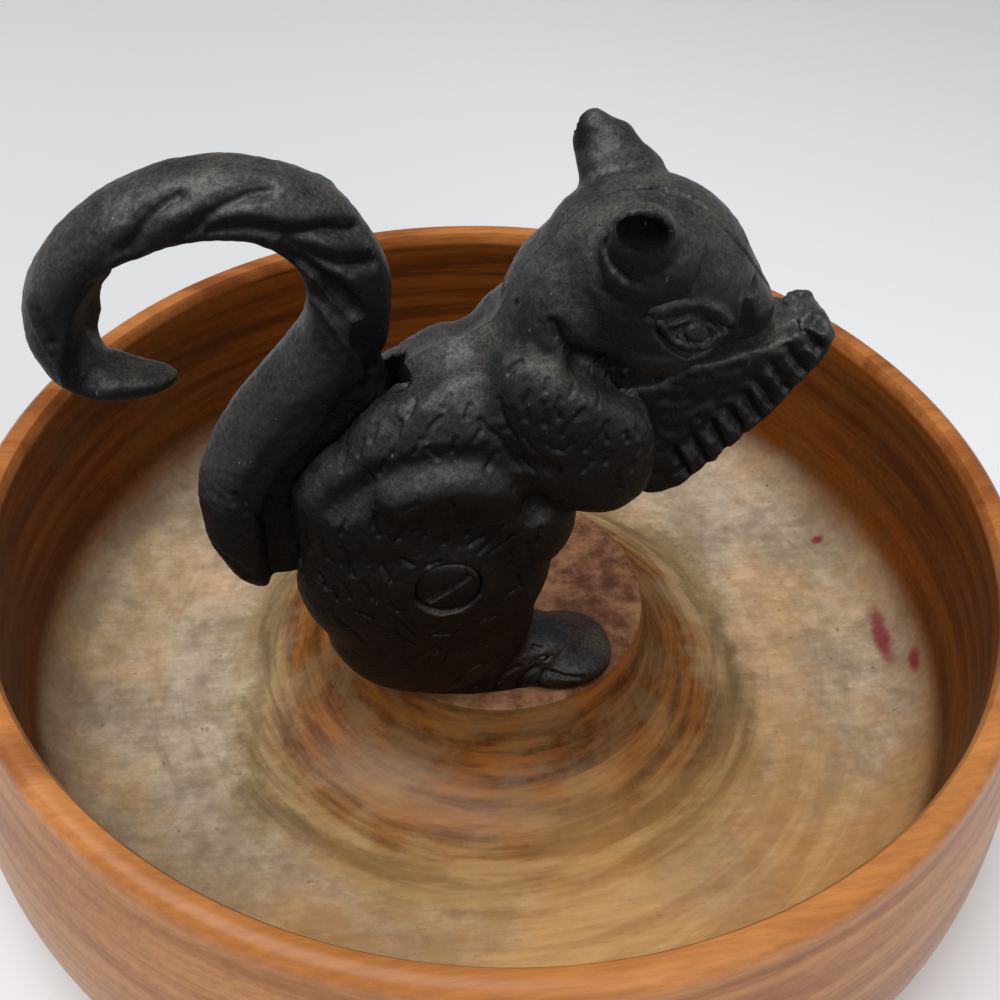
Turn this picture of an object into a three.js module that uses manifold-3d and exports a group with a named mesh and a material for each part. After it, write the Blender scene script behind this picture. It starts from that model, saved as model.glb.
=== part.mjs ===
// Lever nutcracker: an iron squirrel, cast in two halves, on the post of a turned wooden bowl.
// Its tail is the handle of a lever that turns on a pin in the throat and ends in the paws,
// which press a nut up against the muzzle. Millimetres, x the way the squirrel faces, z up,
// with the origin in the middle of the bowl's underside.
import * as THREE from "three";
import * as BufferGeometryUtils from "three/addons/utils/BufferGeometryUtils.js";
import Module from "manifold-3d";

const wasm = await Module();
wasm.setup();

// Bowl
const rimDiameter = 254;
const rimWidth = 6.2;
const bowlHeight = 78;
const bowlSwell = 8.5; // the outer wall's widest, past the rim on each side
const footingDiameter = 206;
const floorThickness = 18;
const postDrop = 36.3; // top of the post below the rim
const postDiameter = 79.6;
const postSpread = 23; // how far the post's foot spreads into the floor on each side

// Figure: both halves follow the height of the muzzle and the width across the shoulders
const muzzleHeight = 100;
const figureWidth = 36;
const figureOffset = 25; // middle of the casting to the middle of the post
const seamGap = 0.3; // between the two halves
const seatGap = 0.3; // between faces that rest on each other

// Lever
const tangThickness = 8;
const pawWidth = 16;
const tailWidth = 17.6;
const hubDiameter = 19;
const sideClearance = 0.6; // from the lever's flanks to the halves
const hubClearance = 2;

// Fasteners and pins
const pivotPinDiameter = 8;
const pivotPinLength = 27;
const clampHeadDiameter = 14.2;
const clampHeadHeight = 3.2;
const clampHeadRecess = 1.6; // top of the head below the haunch's widest face
const clampShankDiameter = 7;
const driverSlotWidth = 2;
const driverSlotDepth = 1.3;
const driverSlotTurn = 38; // degrees, across the clamp screw's head
const clampNutWidth = 12; // across flats
const clampNutHeight = 5.5;
const locatingPinDiameter = 4;
const locatingPinLength = 14;
const mountScrewDiameter = 4.6;
const mountHeadDiameter = 9;
const mountHeadHeight = 4;
const mountGrip = 10; // thread inside the iron foot
const mountSetback = 26; // depth of the counterbore in the underside
const mountWasherDiameter = 13;
const mountWasherThickness = 1.2;
const boreClearance = 0.3; // on the radius, round pins and shanks

// Derived places
const postTop = bowlHeight - postDrop;
const figureHalf = figureWidth / 2;
const pawSlotHalf = pawWidth / 2 + sideClearance;
const tangSlotHalf = tangThickness / 2 + sideClearance;
const overrun = 1; // how far a cutter passes the face that it opens

const iron = { color: 0x17171a, metalness: 0.35, roughness: 0.72 };
const steel = { color: 0x3a3a3c, metalness: 0.8, roughness: 0.5 };
const wood = { color: 0x9a5a24, metalness: 0, roughness: 0.5 };

// Mesh and solid

function toSolid(geometry) {
  const bare = geometry.clone();
  bare.deleteAttribute("normal");
  bare.deleteAttribute("uv");
  const merged = BufferGeometryUtils.mergeVertices(bare);
  const mesh = new wasm.Mesh({
    numProp: 3,
    vertProperties: new Float32Array(merged.attributes.position.array),
    triVerts: new Uint32Array(merged.index.array),
  });
  return new wasm.Manifold(mesh);
}

function toGeometry(solid) {
  const mesh = solid.getMesh();
  const geometry = new THREE.BufferGeometry();
  geometry.setAttribute("position", new THREE.BufferAttribute(new Float32Array(mesh.vertProperties), 3));
  geometry.setIndex(new THREE.BufferAttribute(new Uint32Array(mesh.triVerts), 1));
  return geometry;
}

const joined = (solids) => solids.reduce((sum, solid) => sum.add(solid));
const figureShare = (share) => share * muzzleHeight;

// A rounded mass of the casting: its centre and radii are shares of the muzzle's height along
// x and z and of half the figure's width along y, and its turn lifts the front, in degrees.
function lobe([x, z, rx, rz, ry, turn = 0, y = 0], around = 20, rings = 10, fullness = 0.82) {
  const geometry = new THREE.SphereGeometry(1, around, rings);
  const place = geometry.attributes.position;
  for (let i = 0; i < place.count; i += 1) {
    const height = place.getY(i);
    const ring = Math.hypot(place.getX(i), place.getZ(i));
    const swell = ring > 0 ? ring ** fullness / ring : 0;
    place.setXYZ(
      i,
      place.getX(i) * swell,
      Math.sign(height) * Math.abs(height) ** fullness,
      place.getZ(i) * swell,
    );
  }
  geometry.scale(figureShare(rx), ry * figureHalf, figureShare(rz));
  geometry.rotateY(THREE.MathUtils.degToRad(-turn));
  geometry.translate(figureShare(x), y * figureHalf, figureShare(z));
  return toSolid(geometry);
}

// A flat plate in the plane of the seam, with its outline in shares of the muzzle's height
function plate(outlineShares, thickness, bevel = 0) {
  const outline = outlineShares.map(([x, z]) => new THREE.Vector2(figureShare(x), figureShare(z)));
  const geometry = new THREE.ExtrudeGeometry(new THREE.Shape(outline), {
    depth: thickness - 2 * bevel,
    bevelEnabled: bevel > 0,
    bevelThickness: bevel,
    bevelSize: bevel,
    bevelOffset: -bevel,
    bevelSegments: 2,
    curveSegments: 1,
  });
  geometry.translate(0, 0, -(thickness - 2 * bevel) / 2);
  geometry.rotateX(Math.PI / 2);
  return toSolid(geometry);
}

// A pin across the casting, round the y axis, from one y to another
function crossCylinder(x, z, diameter, fromY, toY, sides = 28) {
  const geometry = new THREE.CylinderGeometry(diameter / 2, diameter / 2, toY - fromY, sides);
  geometry.translate(x, (fromY + toY) / 2, z);
  return toSolid(geometry);
}

function uprightCylinder(x, y, diameter, fromZ, toZ, sides = 24) {
  const geometry = new THREE.CylinderGeometry(diameter / 2, diameter / 2, toZ - fromZ, sides);
  geometry.rotateX(Math.PI / 2);
  geometry.translate(x, y, (fromZ + toZ) / 2);
  return toSolid(geometry);
}

function block(fromX, toX, fromY, toY, fromZ, toZ) {
  const geometry = new THREE.BoxGeometry(toX - fromX, toY - fromY, toZ - fromZ);
  geometry.translate((fromX + toX) / 2, (fromY + toY) / 2, (fromZ + toZ) / 2);
  return toSolid(geometry);
}

// Places that several pieces share, in shares of the muzzle's height
const pivotShare = [0.05, 0.89];
const clampShare = [-0.187, 0.475];
const headPinShare = [0.2, 1.2];
const heelPinShare = [-0.2, 0.24];
const rightMountShare = 0.06;
const leftMountShare = -0.2;
const haunchShares = [-0.22, 0.43, 0.295, 0.32, 0.95];
const pivot = pivotShare.map(figureShare);
const clamp = clampShare.map(figureShare);
const headPin = headPinShare.map(figureShare);
const heelPin = heelPinShare.map(figureShare);
const haunchFace = haunchShares[4] * figureHalf;
const clampHeadTop = haunchFace - clampHeadRecess;
const clampHeadSeat = clampHeadTop - clampHeadHeight;
const mountSideways = figureHalf * 0.3;
const mounts = [
  { side: "right", x: figureShare(rightMountShare), y: -mountSideways },
  { side: "left", x: figureShare(leftMountShare), y: mountSideways },
];

// Figure: masses on the seam, then pairs of masses to each side
const middleShares = [
  haunchShares,
  [-0.2, 0.25, 0.24, 0.235, 0.84],
  [-0.25, 0.62, 0.265, 0.25, 0.87],
  [-0.15, 0.79, 0.3, 0.215, 0.95, 38],
  [-0.06, 0.58, 0.185, 0.2, 0.86],
  [0.01, 0.92, 0.185, 0.165, 0.97],
  [0.075, 1.07, 0.14, 0.19, 0.84, -20],
  [0.21, 1.15, 0.205, 0.17, 1.02, -12],
  [0.205, 1.06, 0.165, 0.105, 0.95],
  [0.365, 1.08, 0.12, 0.08, 0.54, -25],
  [-0.06, 0.05, 0.26, 0.11, 0.53],
  [0.12, 0.03, 0.14, 0.055, 0.66],
];
const pairedShares = [
  [0.07, 0.845, 0.245, 0.148, 0.53, -58, 0.53],
  [0.165, 1.27, 0.075, 0.085, 0.22, -25, 0.82],
  [0.135, 1.285, 0.06, 0.092, 0.23, 0, 0.96],
];
const earHollowShares = [0.135, 1.3, 0.04, 0.055, 0.16, 0, 1.16];
const eyeShares = [0.268, 1.112, 0.05, 0.03, 0.12, -12, 0.93];

// Room inside for the lever: behind, between the tail's slot and the pin; in front, under the chin
const rearRoomShares = [
  [-0.75, 0.38], [-0.4, 0.38], [-0.39, 0.49], [-0.04, 0.66], [0.05, 0.76],
  [0.05, 0.98], [-0.08, 0.965], [-0.18, 0.935], [-0.255, 0.9], [-0.255, 1.1], [-0.75, 1.1],
];
const frontRoomShares = [
  [-0.02, 0.8], [0.07, 0.46], [0.12, 0.4], [0.7, 0.4], [0.7, 1.0],
  [0.48, 1.0], [0.34, 0.985], [0.24, 1.01], [0.14, 1.005], [0.05, 0.99],
];

function figureMass() {
  const mirrored = (shares) => [shares, shares.with(6, -shares[6])];
  const masses = middleShares.map((shares) => lobe(shares));
  const pairs = pairedShares.flatMap(mirrored).map((shares) => lobe(shares, 18, 10));
  const eyes = mirrored(eyeShares).map((shares) => lobe(shares, 12, 6));
  const hollows = mirrored(earHollowShares).map((shares) => lobe(shares, 12, 8));
  const hubRoom = crossCylinder(...pivot, hubDiameter + 2 * hubClearance, -pawSlotHalf, pawSlotHalf, 32);
  return joined([...masses, ...pairs, ...eyes])
    .subtract(joined(hollows))
    .subtract(plate(rearRoomShares, 2 * tangSlotHalf))
    .subtract(plate(frontRoomShares, 2 * pawSlotHalf))
    .subtract(hubRoom);
}

// Everything that both halves are bored or recessed for
function figureCuts() {
  const reach = figureWidth;
  const bore = (diameter) => diameter + 2 * boreClearance;
  const pinBore = (place, diameter, length) =>
    crossCylinder(...place, bore(diameter), -length / 2 - boreClearance, length / 2 + boreClearance);
  const nutRoom = new THREE.BoxGeometry(
    clampNutWidth + 2 * boreClearance,
    reach,
    clampNutWidth + 2 * boreClearance,
  );
  nutRoom.translate(clamp[0], clampHeadSeat - clampNutHeight + clampHeadHeight + reach / 2, clamp[1]);
  const tapped = mounts.map(({ x, y }) =>
    uprightCylinder(x, y, bore(mountScrewDiameter), -overrun, mountGrip + boreClearance));
  return joined([
    pinBore(pivot, pivotPinDiameter, pivotPinLength),
    pinBore(headPin, locatingPinDiameter, locatingPinLength),
    pinBore(heelPin, locatingPinDiameter, locatingPinLength),
    crossCylinder(...clamp, bore(clampShankDiameter), -reach, reach),
    crossCylinder(...clamp, bore(clampHeadDiameter), -reach, -clampHeadSeat, 36),
    toSolid(nutRoom),
    ...tapped,
  ]);
}

const figure = figureMass();
const cuts = figureCuts();

function bodyHalf(side) {
  const reach = 2 * muzzleHeight;
  const inner = seamGap / 2;
  const half = side < 0
    ? block(-reach, reach, -reach, -inner, 0, reach)
    : block(-reach, reach, inner, reach, 0, reach);
  return toGeometry(figure.intersect(half).subtract(cuts));
}

// Tail: middle of the bar, half its depth and half its width, from the rump round to the tip
const tailShares = [
  [-0.59, 0.4, 0.02, 0.5], [-0.613, 0.465, 0.054, 0.86], [-0.625, 0.55, 0.067, 0.97],
  [-0.615, 0.64, 0.073, 1], [-0.58, 0.73, 0.083, 1], [-0.515, 0.82, 0.09, 1],
  [-0.44, 0.91, 0.09, 1], [-0.377, 1, 0.088, 1], [-0.352, 1.09, 0.082, 1],
  [-0.362, 1.19, 0.08, 1], [-0.405, 1.275, 0.072, 1], [-0.48, 1.335, 0.064, 1],
  [-0.58, 1.355, 0.06, 1], [-0.68, 1.335, 0.06, 0.98], [-0.77, 1.28, 0.064, 0.96],
  [-0.84, 1.2, 0.07, 0.93], [-0.865, 1.1, 0.068, 0.88], [-0.845, 1.025, 0.062, 0.8],
  [-0.785, 0.983, 0.044, 0.64], [-0.725, 0.972, 0.026, 0.42], [-0.69, 0.972, 0.009, 0.15],
];
// Tang: the web in the back's slot and the arm to the hub
const tangShares = [
  [-0.285, 1.01], [-0.285, 0.84], [-0.26, 0.745], [-0.21, 0.73], [-0.1, 0.79], [0.02, 0.93],
  [0.08, 0.86], [-0.04, 0.685], [-0.38, 0.52], [-0.415, 0.49], [-0.415, 0.405], [-0.58, 0.405],
  [-0.61, 0.5], [-0.57, 0.68], [-0.46, 0.86], [-0.35, 1.02],
];
// Paws: from the hub out between the elbows, up past the muzzle
const pawShares = [
  [0.0, 0.95], [0.1, 0.945], [0.18, 0.91], [0.25, 0.905], [0.32, 0.945], [0.4, 0.965],
  [0.46, 0.985], [0.51, 1.005], [0.55, 1.03], [0.585, 1.03], [0.6, 1.005], [0.595, 0.945],
  [0.555, 0.885], [0.515, 0.815], [0.46, 0.755], [0.4, 0.695], [0.34, 0.64], [0.275, 0.62],
  [0.215, 0.645], [0.13, 0.72], [0.04, 0.81], [-0.03, 0.87],
];
// Ribs of the paws: where each one leaves the lower edge, evenly along the forearm
const ribCount = 9;
const ribStartShare = [0.27, 0.685];
const ribEndShare = [0.55, 0.95];
const ribLengthShare = 0.075;
const ribThicknessShare = 0.014;
const ribStand = 0.6; // how far a rib stands out of the flank
const ribTurn = 112; // degrees from the x axis

function tailBar() {
  const sides = 14;
  const squareness = 0.85;
  const flattened = (wave) => Math.sign(wave) * Math.abs(wave) ** squareness;
  const count = 2 * tailShares.length - 1;
  const route = new THREE.CatmullRomCurve3(tailShares.map(([x, z]) =>
    new THREE.Vector3(figureShare(x), 0, figureShare(z))));
  const section = new THREE.CatmullRomCurve3(tailShares.map(([, , depth, width]) =>
    new THREE.Vector3(figureShare(depth), width * (tailWidth / 2), 0)));
  const middles = route.getPoints(count - 1);
  const places = [];
  const faces = [];
  section.getPoints(count - 1).forEach(({ x: depth, y: width }, i) => {
    const along = middles[Math.min(i + 1, count - 1)].clone().sub(middles[Math.max(i - 1, 0)]).normalize();
    for (let k = 0; k < sides; k += 1) {
      const angle = (2 * Math.PI * k) / sides;
      const out = flattened(Math.cos(angle)) * depth;
      const over = flattened(Math.sin(angle)) * width;
      places.push(middles[i].x - along.z * out, over, middles[i].z + along.x * out);
    }
  });
  for (let i = 0; i + 1 < count; i += 1) {
    for (let k = 0; k < sides; k += 1) {
      const a = i * sides + k;
      const b = i * sides + ((k + 1) % sides);
      faces.push(a, a + sides, b, b, a + sides, b + sides);
    }
  }
  [0, count - 1].forEach((i) => {
    const centre = places.length / 3;
    places.push(middles[i].x, 0, middles[i].z);
    for (let k = 0; k < sides; k += 1) {
      const a = i * sides + k;
      const b = i * sides + ((k + 1) % sides);
      faces.push(...(i === 0 ? [centre, a, b] : [centre, b, a]));
    }
  });
  const geometry = new THREE.BufferGeometry();
  geometry.setAttribute("position", new THREE.Float32BufferAttribute(places, 3));
  geometry.setIndex(faces);
  return toSolid(geometry);
}

function pawRibs() {
  return Array.from({ length: ribCount }, (_, i) => {
    const t = i / (ribCount - 1);
    const geometry = new THREE.SphereGeometry(1, 10, 6);
    geometry.scale(figureShare(ribLengthShare), pawWidth / 2 + ribStand, figureShare(ribThicknessShare));
    geometry.rotateY(THREE.MathUtils.degToRad(-ribTurn));
    geometry.translate(
      figureShare(THREE.MathUtils.lerp(ribStartShare[0], ribEndShare[0], t)),
      0,
      figureShare(THREE.MathUtils.lerp(ribStartShare[1], ribEndShare[1], t)),
    );
    return toSolid(geometry);
  });
}

function tailLever() {
  const hub = crossCylinder(...pivot, hubDiameter, -pawWidth / 2, pawWidth / 2);
  const bore = crossCylinder(...pivot, pivotPinDiameter + 2 * boreClearance, -pawWidth, pawWidth);
  const paws = plate(pawShares, pawWidth, pawWidth * 0.16);
  const lever = joined([tailBar(), plate(tangShares, tangThickness), hub, paws, ...pawRibs()]);
  return toGeometry(lever.subtract(bore));
}

// Pins, screws and the nut, in the figure's frame

const pin = (place, diameter, length) =>
  toGeometry(crossCylinder(...place, diameter, -length / 2, length / 2));

function clampScrew() {
  const head = crossCylinder(...clamp, clampHeadDiameter, -clampHeadTop, -clampHeadSeat, 36);
  const shank = crossCylinder(...clamp, clampShankDiameter, -clampHeadSeat - overrun / 2, clampHeadTop);
  const slot = new THREE.BoxGeometry(clampHeadDiameter * 0.86, 2 * driverSlotDepth, driverSlotWidth);
  slot.rotateY(THREE.MathUtils.degToRad(-driverSlotTurn));
  slot.translate(clamp[0], -clampHeadTop, clamp[1]);
  return toGeometry(head.add(shank).subtract(toSolid(slot)));
}

function clampNut() {
  const inner = clampHeadSeat - clampNutHeight + clampHeadHeight + seatGap;
  const nut = block(
    clamp[0] - clampNutWidth / 2,
    clamp[0] + clampNutWidth / 2,
    inner,
    inner + clampNutHeight,
    clamp[1] - clampNutWidth / 2,
    clamp[1] + clampNutWidth / 2,
  );
  const hole = crossCylinder(...clamp, clampShankDiameter + 2 * boreClearance, 0, figureWidth);
  return toGeometry(nut.subtract(hole));
}

// Screws up through the post, with a washer under each head, in the figure's frame
const mountSeat = mountSetback - postTop - seatGap;

function mountScrew({ x, y }) {
  const headTop = mountSeat - mountWasherThickness - 2 * seatGap;
  const head = uprightCylinder(x, y, mountHeadDiameter, headTop - mountHeadHeight, headTop);
  const shank = uprightCylinder(x, y, mountScrewDiameter, headTop - overrun, mountGrip);
  const slotFloor = headTop - mountHeadHeight + driverSlotDepth;
  const slot = block(
    x - mountHeadDiameter,
    x + mountHeadDiameter,
    y - driverSlotWidth / 2,
    y + driverSlotWidth / 2,
    slotFloor - mountHeadHeight,
    slotFloor,
  );
  return toGeometry(head.add(shank).subtract(slot));
}

function mountWasher({ x, y }) {
  const top = mountSeat - seatGap;
  const ring = uprightCylinder(x, y, mountWasherDiameter, top - mountWasherThickness, top);
  const hole = uprightCylinder(x, y, mountScrewDiameter + 2 * boreClearance, -postTop - bowlHeight, 0);
  return toGeometry(ring.subtract(hole));
}

// Bowl: one turned blank, with the post left standing in its middle
function bowl() {
  const rimOuter = rimDiameter / 2;
  const rimInner = rimOuter - rimWidth;
  const widest = rimOuter + bowlSwell;
  const footing = footingDiameter / 2;
  const postRadius = postDiameter / 2;
  const wallHeight = bowlHeight - floorThickness;
  const flare = postRadius + postSpread;
  const outside = new THREE.CatmullRomCurve3([
    new THREE.Vector3(footing, 0, 0),
    new THREE.Vector3(footing + (widest - footing) * 0.62, bowlHeight * 0.06, 0),
    new THREE.Vector3(widest - bowlSwell * 0.35, bowlHeight * 0.2, 0),
    new THREE.Vector3(widest, bowlHeight * 0.38, 0),
    new THREE.Vector3(widest - bowlSwell * 0.3, bowlHeight * 0.65, 0),
    new THREE.Vector3(rimOuter, bowlHeight - rimWidth * 0.5, 0),
  ]).getPoints(8);
  const rim = [
    new THREE.Vector3(rimOuter - rimWidth * 0.15, bowlHeight - rimWidth * 0.15, 0),
    new THREE.Vector3(rimOuter - rimWidth * 0.42, bowlHeight, 0),
    new THREE.Vector3(rimInner + rimWidth * 0.2, bowlHeight, 0),
  ];
  const inside = new THREE.CatmullRomCurve3([
    new THREE.Vector3(rimInner, bowlHeight - rimWidth * 0.2, 0),
    new THREE.Vector3(rimInner + bowlSwell * 0.2, floorThickness + wallHeight * 0.5, 0),
    new THREE.Vector3(rimInner - rimWidth * 0.2, floorThickness + wallHeight * 0.15, 0),
    new THREE.Vector3(rimInner - rimWidth * 2.2, floorThickness, 0),
  ]).getPoints(5);
  const post = new THREE.CatmullRomCurve3([
    new THREE.Vector3(flare, floorThickness, 0),
    new THREE.Vector3(postRadius + postSpread * 0.32, floorThickness + (postTop - floorThickness) * 0.27, 0),
    new THREE.Vector3(postRadius + postSpread * 0.06, floorThickness + (postTop - floorThickness) * 0.64, 0),
    new THREE.Vector3(postRadius, postTop - rimWidth * 0.1, 0),
  ]).getPoints(4);
  const profile = [new THREE.Vector3(0, 0, 0), ...outside, ...rim, ...inside, ...post,
    new THREE.Vector3(postRadius - rimWidth * 0.1, postTop, 0), new THREE.Vector3(0, postTop, 0)];
  const lathe = new THREE.LatheGeometry(profile.map(({ x, y }) => new THREE.Vector2(x, y)), 48);
  lathe.rotateX(Math.PI / 2);
  const holes = mounts.flatMap(({ x, y }) => [
    uprightCylinder(x, y - figureOffset, mountScrewDiameter + 2 * boreClearance, 0, bowlHeight),
    uprightCylinder(x, y - figureOffset, mountWasherDiameter + 2 * boreClearance, -overrun, mountSetback),
  ]);
  return toGeometry(toSolid(lathe).subtract(joined(holes)));
}

// Assembly

const nutcracker = new THREE.Group();

function addPiece(parent, name, geometry, finish) {
  const mesh = new THREE.Mesh(geometry, new THREE.MeshStandardMaterial(finish));
  mesh.name = name;
  parent.add(mesh);
}

addPiece(nutcracker, "bowl", bowl(), wood);

const squirrel = new THREE.Group();
squirrel.position.set(0, -figureOffset, postTop + seatGap);
nutcracker.add(squirrel);

addPiece(squirrel, "body_half_right", bodyHalf(-1), iron);
addPiece(squirrel, "body_half_left", bodyHalf(1), iron);
addPiece(squirrel, "tail_lever", tailLever(), iron);
addPiece(squirrel, "pivot_pin", pin(pivot, pivotPinDiameter, pivotPinLength), steel);
addPiece(squirrel, "locating_pin_head", pin(headPin, locatingPinDiameter, locatingPinLength), steel);
addPiece(squirrel, "locating_pin_heel", pin(heelPin, locatingPinDiameter, locatingPinLength), steel);
addPiece(squirrel, "clamp_screw", clampScrew(), iron);
addPiece(squirrel, "clamp_nut", clampNut(), iron);
mounts.forEach((mount) => {
  addPiece(squirrel, `mount_screw_${mount.side}`, mountScrew(mount), steel);
  addPiece(squirrel, `mount_washer_${mount.side}`, mountWasher(mount), steel);
});

export default nutcracker;
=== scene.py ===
import math

import bpy
import numpy as np
from mathutils import Matrix, Vector, noise
from mathutils.bvhtree import BVHTree


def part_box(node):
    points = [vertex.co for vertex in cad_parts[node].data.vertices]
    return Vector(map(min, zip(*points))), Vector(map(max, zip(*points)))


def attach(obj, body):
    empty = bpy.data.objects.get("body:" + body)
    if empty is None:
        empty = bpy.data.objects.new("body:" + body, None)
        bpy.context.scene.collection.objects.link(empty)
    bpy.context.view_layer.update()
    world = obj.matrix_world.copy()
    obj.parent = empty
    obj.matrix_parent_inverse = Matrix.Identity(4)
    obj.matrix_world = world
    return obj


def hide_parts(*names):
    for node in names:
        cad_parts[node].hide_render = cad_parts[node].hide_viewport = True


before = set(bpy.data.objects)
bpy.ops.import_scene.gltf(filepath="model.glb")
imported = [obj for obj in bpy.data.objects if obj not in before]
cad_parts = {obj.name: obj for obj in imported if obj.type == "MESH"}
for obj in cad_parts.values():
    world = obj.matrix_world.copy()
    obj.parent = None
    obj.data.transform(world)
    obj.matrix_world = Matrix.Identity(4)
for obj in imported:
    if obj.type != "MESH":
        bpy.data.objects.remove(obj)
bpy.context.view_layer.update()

mm = 0.001


# Camera: the photograph's own viewpoint, a little to the squirrel's right and rear, looking down
# into the bowl. Its lens covers the picture's thousand pixels with a focal length of 1200.
picture_pixels = 1000
focal_pixels = 1200
camera_place = Vector((-44.8 * mm, -213.5 * mm, 280.4 * mm))
camera_azimuth = math.radians(-11.9)
camera_elevation = math.radians(43.29)
camera_roll = math.radians(3.17)

bpy.ops.object.camera_add(location=camera_place)
camera = bpy.context.object
camera.matrix_world = (
    Matrix.Translation(camera_place)
    @ Matrix.Rotation(camera_azimuth, 4, "Z")
    @ Matrix.Rotation(math.pi / 2 - camera_elevation, 4, "X")
    @ Matrix.Rotation(camera_roll, 4, "Z")
)
camera.data.sensor_width = 36
camera.data.lens = camera.data.sensor_width * focal_pixels / picture_pixels
bpy.context.scene.camera = camera
bpy.context.scene.view_settings.view_transform = "Standard"


# Studio: a pale floor that runs out of the picture, its colour painted lighter towards the front and on
# the right as painted light, for the lamps' falloff and against the bowl's shadow; one broad lamp overhead
# that puts the grey sheen on the casting's upper sides, and a weaker one in front that opens the shadows.
floor_far_painted_shade = (0.76, 0.765, 0.775, 1)
floor_near_left_painted_light, floor_near_right_painted_light = (0.80, 0.81, 0.82, 1), (0.98, 0.99, 1, 1)


# Each of these adds to the node tree that is being built, which is the one held in tree
def give(socket, value):
    if isinstance(value, bpy.types.NodeSocket):
        tree.links.new(value, socket)
    else:
        socket.default_value = value


def node(kind, inputs=None, **settings):
    made = tree.nodes.new("ShaderNode" + kind)
    for name, value in settings.items():
        setattr(made, name, value)
    for name, value in (inputs or {}).items():
        give(made.inputs[name], value)
    return made


def new_material(name):
    material = bpy.data.materials.new(name)
    material.use_nodes = True
    return material, material.node_tree, material.node_tree.nodes["Principled BSDF"]


def feed(shader, **inputs):
    for name, value in inputs.items():
        give(shader.inputs[name.replace("_", " ")], value)


def math_of(operation, a, b=0.0):
    return node("Math", {0: a, 1: b}, operation=operation).outputs[0]


def times(a, b):
    return math_of("MULTIPLY", a, b)


def vector_math(operation, a, b=(0, 0, 0), output=0):
    return node("VectorMath", {0: a, 1: b}, operation=operation).outputs[output]


def axis_of(vector, axis):
    return node("SeparateXYZ", {0: vector}).outputs[axis]


def ramp(value, start, end, low=0.0, high=1.0):
    made = node("MapRange", {
        "Value": value, "From Min": start, "From Max": end, "To Min": low, "To Max": high,
    }, interpolation_type="SMOOTHSTEP")
    return made.outputs["Result"]


def blend(share, first, second, how="MIX"):
    inputs = {0: share, 6: first, 7: second}
    return node("Mix", inputs, data_type="RGBA", blend_type=how).outputs[2]


def toned(value, start, end, first, second):
    return blend(ramp(value, start, end), first, second)


def noise_of(vector, scale, detail=2.0, roughness=0.5, distortion=0.0):
    made = node("TexNoise", {
        "Vector": vector, "Scale": scale, "Detail": detail, "Roughness": roughness,
        "Distortion": distortion,
    })
    return made.outputs["Fac"]


def stretched(vector, turn, scale):
    made = node("Mapping", {"Vector": vector, "Rotation": (0, 0, math.radians(turn)), "Scale": scale})
    return made.outputs["Vector"]


paper, tree, shader = new_material("pale floor")
place = node("TexCoord").outputs["Object"]
# Painted light: the floor's colour darkens towards the back, as the light falls off, and lightens on the
# near right, where the bowl's shadow falls
painted_falloff_nearness = ramp(axis_of(place, "Y"), 0.9, -0.35)
painted_light_near_tone = toned(axis_of(place, "X"), -0.15, 0.15, floor_near_left_painted_light, floor_near_right_painted_light)
feed(shader, Base_Color=blend(painted_falloff_nearness, floor_far_painted_shade, painted_light_near_tone), Roughness=0.8)
bpy.ops.mesh.primitive_plane_add(size=8, location=(0, 0, 0))
floor = bpy.context.object
floor.name = "floor"
floor.data.materials.append(paper)


def lamp(name, place, aim, size, power):
    bpy.ops.object.light_add(type="AREA", location=place)
    light = bpy.context.object
    light.name = name
    light.data.size = size
    light.data.energy = power
    light.rotation_euler = (Vector(aim) - Vector(place)).to_track_quat("-Z", "Y").to_euler()


lamp("key", place=(-0.4, -0.1, 1.3), aim=(0, 0, 0.05), size=1.2, power=16.5)
lamp("front fill", place=(0.3, -0.95, 0.75), aim=(0.05, -0.15, 0), size=0.8, power=3.2)

sky_on_things, sky_in_picture = 0.26, 0.8
world = bpy.data.worlds.new("studio")
bpy.context.scene.world = world
world.use_nodes = True
tree = world.node_tree
sky = tree.nodes["Background"]
give(sky.inputs["Color"], (0.9, 0.92, 0.95, 1))
seen = node("LightPath").outputs["Is Camera Ray"]
give(sky.inputs["Strength"], ramp(seen, 0, 1, sky_on_things, sky_in_picture))


# Body: the squirrel without tail and paws, cast in iron in two halves that meet on its midplane
# and painted matte black. It is modelled whole, from rounded masses that are run together and
# then carved, and cut in two at the end. Its midplane and the height of its foot are the frame's.
seam = (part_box("body_half_right")[1].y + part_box("body_half_left")[0].y) / 2
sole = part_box("body_half_right")[0].z
seam_opening = 0.12 * mm

# Masses in millimetres from the seam's foot: place along and up, half length, half height, half
# width, how far the front is lifted in degrees, and how far out to the side
middle_masses = [
    (-22, 43, 29.5, 32, 17.1, 0, 0),
    (-20.6, 24.6, 25, 24.4, 15.8, 0, 0),
    (-25, 62, 26.5, 25, 15.7, 0, 0),
    (-15, 79, 30, 21.5, 17.1, 38, 0),
    (-6, 58, 18.5, 20, 15.5, 0, 0),
    (1, 92, 18.5, 16.5, 17.5, 0, 0),
    (7.5, 107, 14, 19, 15.1, -20, 0),
    (21, 115, 20.5, 17, 18.2, -12, 0),
    (36, 113.2, 12.5, 7.2, 8.8, -55, 0),
    (20.5, 106, 16.5, 10.5, 17.1, 0, 0),
    (36.5, 108, 12, 8, 9.7, -25, 0),
    (-6, 5, 26, 11, 9.5, 0, 0),
    (12, 3, 14, 5.5, 11.9, 0, 0),
]
shoulder_masses = [(7, 84.5, 24.5, 14.8, 9.5, -58, side) for side in (9.5, -9.5)]
right_ear_masses = [
    (13.3, 131.6, 6, 6.8, 3.6, -4, -16.8),
    (14.2, 130.9, 6.3, 6.2, 4, -20, -15.4),
    (16.2, 125.6, 8.8, 7.6, 5.9, -18, -12.9),
]
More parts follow.
